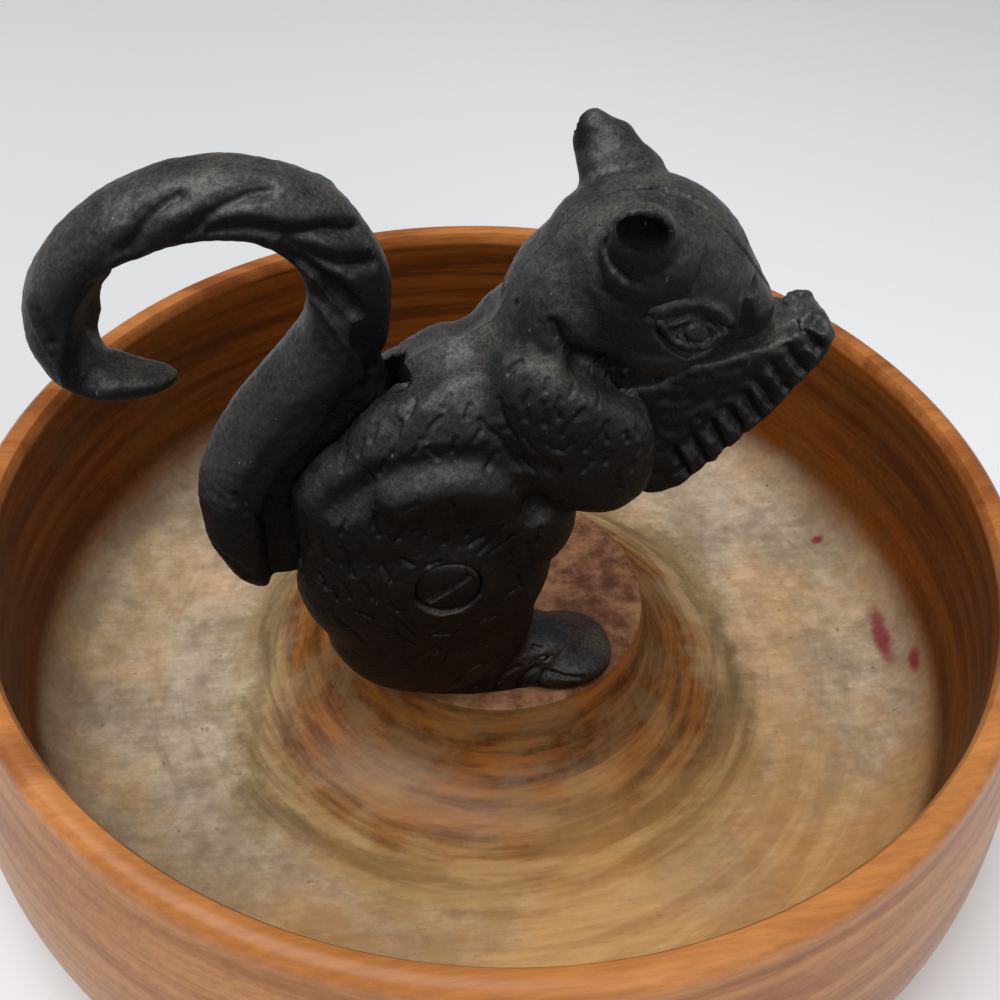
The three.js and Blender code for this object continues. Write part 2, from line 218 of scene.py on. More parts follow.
left_ear_masses = [
    (12.8, 133, 4.1, 5.6, 3.4, -4, 18),
    (15.6, 130.4, 6, 7, 4.2, -24, 16.2),
    (18.2, 127.4, 9.2, 6.8, 5.4, -20, 13.6),
]
ear_hollows = [(12.9, 134, 4.7, 3, 6, -12, -20.6), (13.6, 133.8, 4.3, 3, 6, -10, 20.8)]
mass_fullness = 0.84
blend_grain, ear_grain, fine_grain = 1.0 * mm, 0.7 * mm, 0.46 * mm


def alone(piece):
    bpy.ops.object.select_all(action="DESELECT")
    piece.select_set(True)
    bpy.context.view_layer.objects.active = piece


def set_in_place(piece):
    alone(piece)
    bpy.ops.object.transform_apply(location=True, rotation=True, scale=True)
    return piece


def finish_with(piece, kind, **settings):
    alone(piece)
    modifier = piece.modifiers.new(kind.lower(), kind)
    for name, value in settings.items():
        setattr(modifier, name, value)
    bpy.ops.object.modifier_apply(modifier=modifier.name)


def soften(piece, rounds, **settings):
    finish_with(piece, "SMOOTH", factor=0.5, iterations=rounds, **settings)


def remesh(piece, grain):
    finish_with(piece, "REMESH", mode="VOXEL", voxel_size=grain)


def run_together(pieces, name, grain):
    whole = pieces[0]
    alone(whole)
    for piece in pieces:
        piece.select_set(True)
    bpy.ops.object.join()
    whole.name = name
    remesh(whole, grain)
    return whole


def positions(piece):
    places = np.empty(len(piece.data.vertices) * 3, np.float64)
    piece.data.vertices.foreach_get("co", places)
    return places.reshape(-1, 3)


def facings(piece):
    directions = np.empty(len(piece.data.vertices) * 3, np.float32)
    piece.data.vertex_normals.foreach_get("vector", directions)
    return directions.reshape(-1, 3).astype(np.float64)


def place_points(piece, places):
    piece.data.vertices.foreach_set("co", places.astype(np.float32).ravel())
    piece.data.update()


def rounded_mass(along, up, half_length, half_height, half_width, lift=0, out=0):
    bpy.ops.mesh.primitive_uv_sphere_add(segments=48, ring_count=28, radius=1)
    piece = bpy.context.object
    x, z, y = positions(piece).T
    ring = np.hypot(x, z)
    swell = np.where(ring > 0, ring ** mass_fullness / np.maximum(ring, 1e-9), 0)
    y = -np.sign(y) * np.abs(y) ** mass_fullness
    x, z = x * swell * half_length, z * swell * half_height
    turn = math.radians(lift)
    place_points(piece, np.stack([
        (along + x * math.cos(turn) - z * math.sin(turn)) * mm,
        seam + (out + y * half_width) * mm,
        sole + (up + x * math.sin(turn) + z * math.cos(turn)) * mm,
    ], axis=1))
    return piece


body = run_together(
    [rounded_mass(*mass) for mass in middle_masses + shoulder_masses],
    "squirrel_body", blend_grain,
)
soften(body, 14)
body = run_together(
    [body] + [rounded_mass(*mass) for mass in right_ear_masses + left_ear_masses],
    "squirrel_body", ear_grain,
)
soften(body, 8)

# The side of the far ear that faces the head is plain in the photograph, so it is smoothed alone
far_ear = np.array([15 * mm, seam + 14 * mm, sole + 129 * mm])
far_ear_reach, far_ear_outer_side = 10.5 * mm, seam + 19.5 * mm
places = positions(body)
near_far_ear = np.linalg.norm(places - far_ear, axis=1) < far_ear_reach
near_far_ear &= places[:, 1] < far_ear_outer_side
ear_group = body.vertex_groups.new(name="far ear")
ear_group.add(np.flatnonzero(near_far_ear).tolist(), 1.0, "REPLACE")
soften(body, 30, vertex_group="far ear")


# Room in the body for the lever: a slot down the back for the web of the tail, a wider one in
# front for the paws, and a round room for the hub between them.
def drum(name, along, up, diameter, from_side, to_side, sides=48):
    bpy.ops.mesh.primitive_cylinder_add(
        vertices=sides, radius=diameter / 2 * mm, depth=(to_side - from_side) * mm,
        location=(along * mm, seam + (from_side + to_side) / 2 * mm, sole + up * mm),
        rotation=(math.pi / 2, 0, 0),
    )
    bpy.context.object.name = name
    return set_in_place(bpy.context.object)


def upright(along, across, diameter, from_up, to_up):
    bpy.ops.mesh.primitive_cylinder_add(
        vertices=40, radius=diameter / 2 * mm, depth=(to_up - from_up) * mm,
        location=(along * mm, across * mm, (from_up + to_up) / 2 * mm),
    )
    return set_in_place(bpy.context.object)


def drawn(name, points, edges, faces):
    mesh = bpy.data.meshes.new(name)
    mesh.from_pydata(points, edges, faces)
    piece = bpy.data.objects.new(name, mesh)
    bpy.context.collection.objects.link(piece)
    return piece


def edit_all(piece, *steps):
    alone(piece)
    bpy.ops.object.mode_set(mode="EDIT")
    for step, settings in steps:
        bpy.ops.mesh.select_all(action="SELECT")
        step(**settings)
    bpy.ops.object.mode_set(mode="OBJECT")


faced_outwards = (bpy.ops.mesh.normals_make_consistent, {"inside": False})


def slab(name, outline, thickness):
    points = [(along * mm, seam - thickness / 2 * mm, sole + up * mm) for along, up in outline]
    piece = drawn(name, points, [], [range(len(points))])
    through_it = {"TRANSFORM_OT_translate": {"value": (0, thickness * mm, 0)}}
    edit_all(piece, (bpy.ops.mesh.extrude_region_move, through_it), faced_outwards)
    return piece


def cut_away(piece, cutters):
    for cutter in cutters:
        finish_with(piece, "BOOLEAN", operation="DIFFERENCE", object=cutter, solver="EXACT")
        bpy.data.objects.remove(cutter)


rear_room = [
    (-75, 38), (-40, 38), (-39, 49), (-4, 66), (5, 76), (5, 98),
    (-8, 96.5), (-18, 93.5), (-26.6, 90), (-26.6, 112), (-75, 112),
]
front_room = [
    (-2, 80), (7, 46), (12, 40), (70, 40), (70, 100),
    (48, 100), (34, 98.5), (24, 101), (14, 100.5), (5, 99),
]
web_room_width, paw_room_width, hub_room_diameter = 9.2, 17.2, 23
pivot_along, pivot_up, pivot_bore, pivot_half_length = 5, 89, 8.6, 13.8

# The clamp screw sits in a round sink on the right side, its nut in a square one on the left
clamp_along, clamp_up, clamp_bore = -18.7, 47.5, 7.6
screw_sink_diameter, screw_seat = 14.9, -12.3
nut_sink_width, nut_sink_middle = 12.6, 16.3
locating_pins = [("head_pin_bore", 20, 120), ("heel_pin_bore", -20, 24)]
locating_bore, locating_half_length = 4.6, 7.3
mount_places = [(6, -30.4), (-20, -19.6)]
mount_bore = 5.2

cut_away(body, [
    slab("rear_room", rear_room, web_room_width),
    slab("front_room", front_room, paw_room_width),
    drum("hub_room", pivot_along, pivot_up, hub_room_diameter, -paw_room_width / 2, paw_room_width / 2),
])
cut_away(body, [rounded_mass(*hollow) for hollow in ear_hollows])
cut_away(body, [drum("clamp_bore", clamp_along, clamp_up, screw_sink_diameter, -24, screw_seat, 64)])
bpy.ops.mesh.primitive_cube_add(
    size=nut_sink_width * mm,
    location=(clamp_along * mm, seam + nut_sink_middle * mm, sole + clamp_up * mm),
)
nut_sink = bpy.context.object
cut_away(body, [
    nut_sink,
    drum("clamp_shank_bore", clamp_along, clamp_up, clamp_bore, -20, 20),
    drum("pivot_bore", pivot_along, pivot_up, pivot_bore, -pivot_half_length, pivot_half_length),
    *[drum(name, along, up, locating_bore, -locating_half_length, locating_half_length)
      for name, along, up in locating_pins],
    *[upright(x, y, mount_bore, 30, 52) for x, y in mount_places],
])
remesh(body, fine_grain)
soften(body, 3)


# Carving of the body. Each stroke is drawn on the photograph, in its pixels, thrown along the
# camera's line of sight onto the casting's right side, and repeated on the left side. Reach is how
# far a stroke works to either side, and depth how deep it goes, both in mm.
def along_sight(surface, pixel):
    x = (pixel[0] - picture_pixels / 2) / focal_pixels
    y = (picture_pixels / 2 - pixel[1]) / focal_pixels
    direction = (camera.matrix_world.to_3x3() @ Vector((x, y, -1))).normalized()
    place, facing, _, _ = surface.ray_cast(camera_place, direction)
    return place, facing


def thrown(surface, stroke, step=4):
    pixels = []
    for (x0, y0), (x1, y1) in zip(stroke, stroke[1:] or stroke):
        count = max(1, round(math.hypot(x1 - x0, y1 - y0) / step))
        pixels += [(x0 + (x1 - x0) * k / count, y0 + (y1 - y0) * k / count) for k in range(count + 1)]
    hits = [along_sight(surface, pixel) for pixel in pixels]
    hits = [(place, facing) for place, facing in hits if place is not None]
    path = np.array([place for place, _ in hits]).reshape(-1, 3)
    facing = np.array([facing for _, facing in hits]).reshape(-1, 3)
    return path, facing.mean(0) if len(facing) else np.zeros(3)


def mirrored(paths):
    flip = np.array([1, -1, 1])
    return paths + [(path * flip + [0, 2 * seam, 0], facing * flip) for path, facing in paths]


def distance_to_path(places, path):
    nearest = np.linalg.norm(places - path[0], axis=1)
    for start, end in zip(path, path[1:]):
        stretch = end - start
        length = stretch @ stretch
        if length < 1e-12:
            continue
        share = np.clip((places - start) @ stretch / length, 0, 1)
        nearest = np.minimum(nearest, np.linalg.norm(places - start - share[:, None] * stretch, axis=1))
    return nearest


def press(piece, paths, reach, depth, power=2):
    places = positions(piece)
    directions = facings(piece)
    push = np.zeros(len(places))
    for path, facing in paths:
        if not len(path):
            continue
        inside = (places > path.min(0) - reach * mm) & (places < path.max(0) + reach * mm)
        near = np.nonzero(inside.all(axis=1))[0]
        strength = np.clip(1 - (distance_to_path(places[near], path) / (reach * mm)) ** 2, 0, 1) ** power
        strength *= np.clip(directions[near] @ facing * 3, 0, 1)
        push[near] = np.maximum(push[near], strength)
    place_points(piece, places - directions * (push * depth * mm)[:, None])


def surface_of(piece):
    return BVHTree.FromObject(piece, bpy.context.evaluated_depsgraph_get())


def carve(piece, strokes, reach, depth, both_sides=True, power=2):
    surface = surface_of(piece)
    paths = [thrown(surface, stroke) for stroke in strokes]
    press(piece, mirrored(paths) if both_sides else paths, reach, depth, power)


def roughen(piece, size, height, seed, ahead_of=-math.inf):
    places = positions(piece)
    directions = facings(piece)
    shift = Vector((seed, 2 * seed, 3 * seed))
    swell = np.array([noise.noise(Vector(place) / (size * mm) + shift) for place in places])
    swell *= np.clip((places[:, 0] - ahead_of) / (4 * mm), 0, 1)
    place_points(piece, places + directions * (swell * height * mm)[:, None])


# Thigh: the crease over it, its rounded top, and the swell of the flank behind it. What is carved
# by a negative depth stands out.
thigh_crease = [(338, 506), (365, 492), (400, 476), (440, 465), (480, 462), (512, 480), (536, 508)]
carve(body, [thigh_crease], 5.5, 1.2)
carve(body, [[(405, 506), (440, 497), (480, 500), (505, 514)]], 9, -1.3)
carve(body, [[(300, 500), (330, 470), (370, 440)]], 8, -0.8)

# Hollow of the back beside the slot, placed in mm instead of on the photograph
back_hollow = np.array([(-26, 5, 98), (-20, 5, 101), (-13, 5, 106)]) * mm + [0, seam, sole]
back_hollow_facing = np.array([-0.5, 0.3, 0.8])
press(body, mirrored([(back_hollow, back_hollow_facing)]), 9, 2.2)

# Behind the cheek and under the jaw
carve(body, [[(556, 332), (577, 352), (600, 364)]], 3.2, 0.9)
carve(body, [[(590, 371), (618, 382), (645, 394), (664, 400)]], 6.5, 2.6)
carve(body, [[(585, 362), (610, 375), (640, 386), (665, 389)]], 4.2, 1.3)
carve(body, [[(572, 338), (600, 348), (622, 355), (645, 364), (668, 368)]], 3.4, -0.4)

# Between back and shoulder, then the swells of shoulder and cheek, and the thigh's top once more
carve(body, [[(472, 358), (480, 385), (492, 415)]], 6, 1.1)
carve(body, [[(500, 440), (520, 462), (545, 470)]], 4, 1.0)
carve(body, [[(560, 400), (600, 410), (630, 420)]], 11, -0.9)
carve(body, [[(640, 352), (668, 360)], [(600, 330), (640, 345)]], 7, -0.9)
carve(body, [[(398, 500), (435, 489), (475, 485), (512, 493)]], 8, -1.3)

# Eyes. The mesh round them is made twice as fine first.
eye_middle = (697, 334)
brow = [(654, 311), (675, 306), (700, 304), (718, 311), (729, 322)]
upper_lid = [(648, 314), (660, 321), (676, 321), (691, 318), (706, 320), (718, 325), (729, 331)]
lower_lid = [(657, 326), (664, 338), (676, 350), (689, 356), (702, 355), (713, 348), (723, 339)]
lid_ridge = [(662, 328), (669, 338), (681, 347), (694, 350), (708, 344), (718, 335)]
eye_reach = 6.8 * mm
eye_place = along_sight(surface_of(body), eye_middle)[0]
alone(body)
for middle in (eye_place, Vector((eye_place.x, 2 * seam - eye_place.y, eye_place.z))):
    near_eye = np.linalg.norm(positions(body) - np.array(middle), axis=1) < eye_reach
    body.data.vertices.foreach_set("select", near_eye)
    body.data.edges.foreach_set("select", np.zeros(len(body.data.edges), bool))
    face_corners = np.empty(len(body.data.loops), np.int32)
    body.data.loops.foreach_get("vertex_index", face_corners)
    first_corners = np.empty(len(body.data.polygons), np.int32)
    body.data.polygons.foreach_get("loop_start", first_corners)
    whole_faces = np.logical_and.reduceat(near_eye[face_corners], first_corners)
    body.data.polygons.foreach_set("select", whole_faces)
    bpy.ops.object.mode_set(mode="EDIT")
    bpy.ops.mesh.select_mode(type="FACE")
    bpy.ops.mesh.subdivide(number_cuts=1, smoothness=0)
    bpy.ops.mesh.select_mode(type="VERT")
    bpy.ops.object.mode_set(mode="OBJECT")

# Socket, brow, lids, the ridge inside the lower lid, the ball, and the edge of the iris
carve(body, [[(676, 331), (712, 333)]], 4.2, 1.1)
carve(body, [brow], 1.6, -0.8)
carve(body, [upper_lid], 1.25, 1.9)
carve(body, [lower_lid], 1.1, 1.3)
carve(body, [lid_ridge], 0.95, -0.7)
carve(body, [[(691, 334), (703, 335)]], 3.0, -1.3, power=0.6)
iris = [(eye_middle[0] + 14 * math.cos(a), eye_middle[1] + 10 * math.sin(a))
        for a in np.linspace(0, 2 * math.pi, 17)]
carve(body, [iris], 0.75, 0.5)

# Ears: the swell that joins the near one to the cheek, its rim, and the cut behind it
carve(body, [[(628, 296), (650, 296), (672, 284), (688, 264), (692, 245)]], 8.5, -1.7, False)
ear_rim = [(605, 240), (611, 223), (625, 214), (642, 210), (659, 212), (670, 222), (671, 232)]
carve(body, [ear_rim], 1.4, -0.4, False)
carve(body, [[(604, 243), (605, 256), (612, 268), (625, 279)]], 1.1, 0.9, False)

# Cheek: its rear edge, the deep line under it and the ruff's short cuts
carve(body, [[(553, 322), (558, 335), (566, 347), (577, 354)]], 1.3, 0.9)
under_cheek = [(577, 351), (600, 359), (622, 366), (645, 375), (665, 380), (684, 376), (698, 366)]
carve(body, [under_cheek], 3.4, 1.1)
carve(body, [[(566, 354), (588, 372), (612, 384)]], 6, 1.1)
carve(body, [under_cheek], 1.3, 0.8)
ruff = [
    [(588, 360), (590, 369)], [(600, 365), (601, 376)], [(612, 369), (612, 381)],
    [(624, 372), (623, 385)], [(635, 376), (634, 389)], [(646, 380), (644, 392)],
    [(656, 383), (654, 395)], [(576, 357), (579, 366)], [(607, 376), (607, 386)],
    [(619, 381), (618, 391)], [(630, 386), (629, 396)], [(641, 390), (640, 400)],
]
carve(body, ruff, 0.85, 0.35)

# Nose
nose_edge = [(755, 274), (746, 288), (739, 304), (735, 320), (737, 335)]
carve(body, [nose_edge], 1.3, -0.6)
carve(body, [[(754, 284), (747, 300), (744, 318), (746, 332)]], 3.2, 1.2)

# Open stretches of the joint between the halves
carve(body, [[(632, 188), (650, 187), (665, 189), (680, 193), (695, 199), (706, 206)]], 0.9, 1.3, False)
carve(body, [[(713, 219), (728, 232), (740, 245), (752, 262), (771, 288)]], 0.7, 0.5, False)
carve(body, [[(425, 358), (453, 350), (476, 333)]], 0.8, 0.25, False)
carve(body, [[(516, 303)]], 0.9, 0.8, False)

# Fur: short cuts of the pattern maker's gouge
back_fur = [
    [(499, 400), (502, 415), (508, 430)], [(529, 392), (525, 405), (526, 420)],
    [(543, 404), (545, 426)], [(560, 399), (556, 410), (560, 419)], [(583, 411), (577, 419)],
    [(607, 424), (604, 433), (608, 442)], [(625, 433), (628, 441)], [(594, 440), (585, 451)],
    [(572, 444), (563, 452), (553, 450), (546, 443)], [(525, 438), (530, 447), (538, 454)],
    [(506, 425), (515, 438)], [(637, 419), (638, 436)], [(646, 414), (650, 428)],
    [(520, 362), (512, 368), (508, 373)], [(480, 420), (490, 432), (497, 437)],
    [(500, 440), (510, 455), (520, 468)], [(520, 457), (528, 466), (534, 471)],
    [(400, 422), (397, 436)], [(398, 438), (393, 456)], [(441, 417), (430, 428), (426, 441)],
    [(481, 431), (475, 441)], [(456, 439), (452, 451)], [(429, 449), (438, 459)],
    [(496, 454), (487, 469)], [(641, 446), (634, 460), (632, 471)],
    [(620, 469), (618, 480), (621, 489)], [(362, 440), (358, 455)], [(415, 400), (409, 415)],
    [(376, 425), (371, 441)], [(450, 395), (444, 409)], [(345, 452), (341, 470)],
    [(385, 462), (379, 474)], [(420, 440), (414, 454)], [(548, 380), (545, 391)],
    [(575, 385), (571, 396)], [(600, 395), (598, 407)], [(566, 425), (562, 436)],
    [(612, 452), (606, 463)], [(590, 462), (583, 472)], [(560, 468), (556, 480)],
    [(470, 405), (466, 418)],
]
haunch_fur = [
    [(418, 505), (408, 510), (402, 514)], [(439, 504), (426, 512), (419, 522), (415, 533)],
    [(450, 501), (456, 512), (458, 524)], [(474, 509), (469, 520), (467, 536)],
    [(375, 514), (374, 525), (379, 536)], [(389, 519), (391, 531)], [(491, 527), (483, 539)],
    [(505, 525), (497, 535), (488, 545), (480, 553)], [(513, 536), (501, 545), (490, 554)],
    [(479, 539), (469, 546)], [(402, 559), (412, 565)], [(429, 566), (441, 562)],
    [(360, 544), (367, 558)], [(342, 549), (350, 562), (352, 575)],
    [(320, 539), (325, 552), (328, 559)], [(303, 519), (305, 534), (308, 546)],
    [(382, 566), (388, 575), (390, 583)], [(363, 582), (368, 590), (372, 599)],
    [(341, 582), (346, 590), (350, 599)], [(320, 575), (326, 589)], [(333, 590), (337, 601)],
    [(300, 559), (303, 576)], [(290, 539), (295, 551)], [(513, 549), (510, 566)],
    [(527, 544), (530, 561)], [(517, 576), (522, 587)], [(398, 621), (411, 634)],
    [(395, 632), (405, 642), (413, 645)], [(432, 636), (451, 635)], [(344, 624), (365, 643)],
    [(330, 609), (345, 629)], [(355, 612), (372, 619)], [(405, 527), (398, 540)],
    [(345, 522), (340, 535)], [(430, 528), (424, 538)], [(446, 533), (444, 545)],
    [(540, 530), (537, 545)], [(388, 605), (398, 612)], [(480, 622), (497, 616)],
    [(505, 598), (514, 590)],
]
carve(body, back_fur, 0.85, 0.5)
carve(body, haunch_fur, 0.85, 0.5)

# Foot: toes, the worn edge of the sole, and a casting pit
toe_cuts = [
    [(482, 664), (467, 672), (455, 683)], [(498, 669), (486, 676), (476, 687)],
    [(518, 667), (504, 675), (494, 690)], [(536, 667), (523, 677), (514, 691)], [(546, 671), (537, 685)],
]
carve(body, toe_cuts, 1.0, 0.7)
carve(body, [[(551, 672), (566, 677), (582, 678)]], 0.9, 0.6)
carve(body, [[(534, 647), (541, 649)]], 1.1, 0.5, False)

# Unevenness of the casting, with sizes and heights in mm
roughen(body, size=5, height=0.22, seed=1)
roughen(body, size=1.6, height=0.12, seed=2)


# The two halves: the body parted at its midplane, each with half of the rooms inside
def half_body(name, side):
    piece = body.copy()
    piece.data = body.data.copy()
    bpy.context.collection.objects.link(piece)
    piece.name = name
    edit_all(piece, (bpy.ops.mesh.bisect, {
        "plane_co": (0, seam + side * seam_opening / 2, 0), "plane_no": (0, side, 0),
        "use_fill": True, "clear_inner": True,
    }))
    return piece


def dress(piece, material, crease):
    alone(piece)
    bpy.ops.object.shade_smooth_by_angle(angle=math.radians(crease))
    piece.data.materials.clear()
    piece.data.materials.append(material)


# Paint on the casting: matte black over the grain of the sand mould, a film of grey dust on what faces
# up that is also painted sheen, the tops made lighter as if lit from above, specks of dust and lint, and a
# brown tinge low down
def effect(name, inputs, outputs):
    group = bpy.data.node_groups.new(name, "ShaderNodeTree")
    for label, kind in inputs:
        group.interface.new_socket(name=label, in_out="INPUT", socket_type=kind)
    for label, kind in outputs:
        group.interface.new_socket(name=label, in_out="OUTPUT", socket_type=kind)
    return group, group.nodes.new("NodeGroupInput"), group.nodes.new("NodeGroupOutput")


tree, given, result = effect(
    "mould skin", [("Place", "NodeSocketVector"), ("Facing", "NodeSocketVector")],
    [(label, "NodeSocketFloat") for label in ("Height", "Dust and sheen", "Specks", "Gloss")],
)
place = given.outputs["Place"]
sand = noise_of(place, 1500, 4, 0.7)
pits = ramp(noise_of(place, 520, 3, 0.6), 0.26, 0.44)
lumps = noise_of(place, 190, 2)
height = math_of("ADD", times(sand, 0.7), times(pits, 0.4))
height = math_of("ADD", height, times(lumps, 0.6))
gloss = ramp(sand, 0.38, 0.62, 0.55, 1.0)
upness = axis_of(given.outputs["Facing"], "Z")
clouds = ramp(noise_of(place, 90, 6, 0.75), 0.3, 0.7)
dust_and_sheen_patches = times(clouds, ramp(sand, 0.35, 0.62, 0.35, 1))
# Dust and painted sheen: what faces up gets a grey film, the tops lighter as if light falls on them
dust_and_sheen = times(ramp(upness, 0.1, 0.9), dust_and_sheen_patches)
thread = node("Mapping", {"Vector": place, "Rotation": (0.6, 0.4, 0.9), "Scale": (1, 1, 0.25)})
specks = ramp(noise_of(thread.outputs["Vector"], 1700, 1), 0.76, 0.80)
specks = times(specks, ramp(upness, -0.2, 0.6, 0.1, 0.8))
for label, value in (("Height", height), ("Dust and sheen", dust_and_sheen), ("Specks", specks), ("Gloss", gloss)):
    give(result.inputs[label], value)
skin = tree


# Hair on the body: short nicks that fan out from the middle of the haunch
fan_middle = (-0.012, 0, sole + 0.040)
tree, given, result = effect("hair nicks", [("Place", "NodeSocketVector")], [("Height", "NodeSocketFloat")])
place = given.outputs["Place"]
sway = vector_math("MULTIPLY", noise_of(place, 60, 2), (0.006, 0.006, 0.006))
from_middle = vector_math("SUBTRACT", vector_math("ADD", place, sway), fan_middle)
fan = node("SeparateXYZ", {0: from_middle}).outputs
fan_angle = math_of("ARCTAN2", fan["X"], fan["Z"])
fan_out = math_of("ADD", times(fan["X"], fan["X"]), times(fan["Z"], fan["Z"]))
fan_out = math_of("SQRT", fan_out)
spread = node("CombineXYZ", {"X": times(fan_angle, 11), "Y": times(fan_out, 105), "Z": times(fan["Y"], 40)})
cells = node("TexVoronoi", {"Vector": spread.outputs[0], "Scale": 1.0}).outputs
chance = node("SeparateColor", {0: cells["Color"]}).outputs["Red"]
kept = math_of("GREATER_THAN", chance, 0.35)
nicks = times(ramp(cells["Distance"], 0.26, 0.1), kept)
give(result.inputs["Height"], nicks)
hair = tree


# The paint itself. The inside of the ears is kept clear of the grey film and of shine, painted shade that
# keeps the ear hollows dark, and the hair ends below the head and above the foot.
black, low_brown = (0.0045, 0.0047, 0.0052, 1), (0.011, 0.0055, 0.003, 1)
grey_dust_and_sheen, brown_dust_and_sheen = (0.155, 0.155, 0.152, 1), (0.155, 0.137, 0.112, 1)
lint = (0.30, 0.29, 0.26, 1)
dust_and_sheen_share, hair_share = 0.68, 0.9
painted_ear_shade_middle = (12.9 * mm, 19 * mm, sole + 133 * mm)

iron, tree, shader = new_material("black iron")
source = node("TexCoord").outputs
place = source["Object"]
layer = node("Group", {"Place": place, "Facing": source["Normal"]}, node_tree=skin).outputs
level = axis_of(place, "Z")
facing_up = axis_of(source["Normal"], "Z")
folded = vector_math("ABSOLUTE", vector_math("ADD", place, (0, -seam, 0)))
from_ear = vector_math("DISTANCE", folded, painted_ear_shade_middle, "Value")
# Painted shade: near the middle of each ear hollow the grey film is left off, so the hollow stays dark
clear_of_painted_ear_shade = ramp(from_ear, 0.0042, 0.0056)
lowness = times(ramp(level, 0.11, 0.05), noise_of(place, 60, 3))
colour = blend(lowness, black, low_brown)
dust_and_sheen = times(layer["Dust and sheen"], times(clear_of_painted_ear_shade, dust_and_sheen_share))
# Colour of the grey film, part dust and part painted sheen on the upper sides
dust_and_sheen_tone = toned(noise_of(place, 45, 3), 0.45, 0.62, grey_dust_and_sheen, brown_dust_and_sheen)
colour = blend(dust_and_sheen, colour, dust_and_sheen_tone)
colour = blend(layer["Specks"], colour, lint)
nicks = node("Group", {"Place": place}, node_tree=hair).outputs["Height"]
below_head = times(ramp(level, sole + 0.104, sole + 0.094), hair_share)
above_foot = ramp(level, sole + 0.012, sole + 0.018)
nicks = times(nicks, times(below_head, above_foot))
height = math_of("SUBTRACT", layer["Height"], nicks)
bump = node("Bump", {"Height": height, "Strength": 1.0, "Distance": 0.0009})
shine = times(times(layer["Gloss"], clear_of_painted_ear_shade), ramp(facing_up, -0.1, 0.7))
feed(
    shader, Base_Color=colour, Normal=bump.outputs["Normal"], Specular_IOR_Level=0.12,
    Roughness=ramp(layer["Dust and sheen"], 0, 1, 0.42, 0.62),
    Coat_Weight=shine, Coat_Roughness=0.42, Coat_IOR=1.5,
)

for half_node, side in (("body_half_right", -1), ("body_half_left", 1)):
    half = half_body("painted_" + half_node, side)
    dress(half, iron, 50)
    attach(half, "stand")
    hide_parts(half_node)
bpy.data.objects.remove(body)


# Lever: tail, web, hub and paws, one iron casting painted as the body is. It turns on the pin in
# the throat and is modelled where the photograph shows it, with the tail down on the back.
# Places along and up on the tail's right and left sides as it climbs, in mm, with half its width,
# how rounded those two sides are, and how far its left face is turned towards the squirrel's right
tail_stations = [
    (-56.5, 40.6, -59.5, 41, 4, 0.7, 1, 0), (-56.2, 45, -64.6, 46.4, 7.2, 0.5, 1.1, 0),
    (-56.4, 53.5, -68.2, 54, 8.6, 0.45, 1.2, 0), (-56.3, 60, -68.9, 60.5, 8.9, 0.4, 1.3, 0),
    (-55.7, 66.5, -68.9, 67, 9, 0.4, 1.35, 0), (-53.6, 72, -67.6, 73.5, 9, 0.4, 1.35, 0),
    (-50.4, 77.5, -65.2, 80, 9, 0.4, 1.35, 0), (-46.2, 82.5, -61.8, 86.5, 9, 0.4, 1.35, 0),
    (-41.6, 87.8, -57.5, 92.5, 9, 0.5, 1.2, 0), (-37.2, 93.2, -53, 97.7, 9, 0.85, 1.1, 0),
    (-30.3, 98, -48.7, 102.3, 9, 1.3, 1, 0), (-28.5, 104.4, -45.2, 106.6, 9, 1.6, 0.9, 0),
    (-27.8, 111, -43.5, 111.5, 8.9, 1.6, 0.75, 0), (-28, 117.5, -43.5, 116.5, 8.9, 1.4, 0.6, 0),
    (-30.8, 125.3, -44.6, 121.8, 8.8, 1.15, 0.5, 0), (-36.8, 133.7, -47.6, 125.2, 8.8, 1, 0.55, 0),
    (-45.9, 138.9, -52, 128, 8.8, 1, 0.55, 0), (-56.4, 140.6, -57.5, 128.8, 8.8, 1, 0.55, 0),
    (-65.8, 139.6, -64, 128.2, 8.8, 1, 0.5, 0.8), (-75.6, 135.9, -70.4, 125.4, 8.6, 1, 0.45, 1.8),
    (-84, 129.6, -76.8, 122, 8.4, 1, 0.45, 2.6), (-90.2, 122.4, -79.8, 116.8, 8.2, 1, 0.45, 3),
    (-93.3, 114, -81.8, 111.2, 7.8, 1, 0.45, 3), (-93.2, 106.3, -82.4, 106.4, 7.4, 0.95, 0.5, 2.4),
    (-90.2, 99.6, -81.2, 102.4, 6.8, 0.9, 0.6, 1.4), (-84.6, 95.4, -78, 100.6, 6, 0.85, 0.7, 0.6),
    (-78, 94, -74.6, 99.8, 4.8, 0.85, 0.8, 0), (-72, 94.6, -71, 99, 3.2, 0.9, 0.9, 0),
    (-68.8, 96.2, -68.6, 97.8, 1, 1, 1, 0),
]
web_outline = [
    (-35, 106), (-30.2, 101.5), (-28.2, 94), (-28.6, 84), (-26, 74.5), (-21, 73), (-10, 79), (2, 93),
    (8, 86), (-4, 68.5), (-38, 52), (-41.5, 49), (-41.5, 44.5), (-56, 43.5),
    (-61, 50), (-57, 68), (-46, 86), (-35, 102),
]
paw_outline = [
    (0, 95), (10, 94.5), (18, 91.5), (24, 92), (31, 96), (40, 97.6), (46, 99),
    (50, 100.9), (54.5, 103), (58.8, 103.2), (60.6, 100.4), (58.6, 94), (54.5, 88), (50, 81),
    (45, 75), (39, 69), (33.5, 63.3), (27.5, 60.8), (21.5, 63.5), (13, 72), (4, 81), (-3, 87),
]
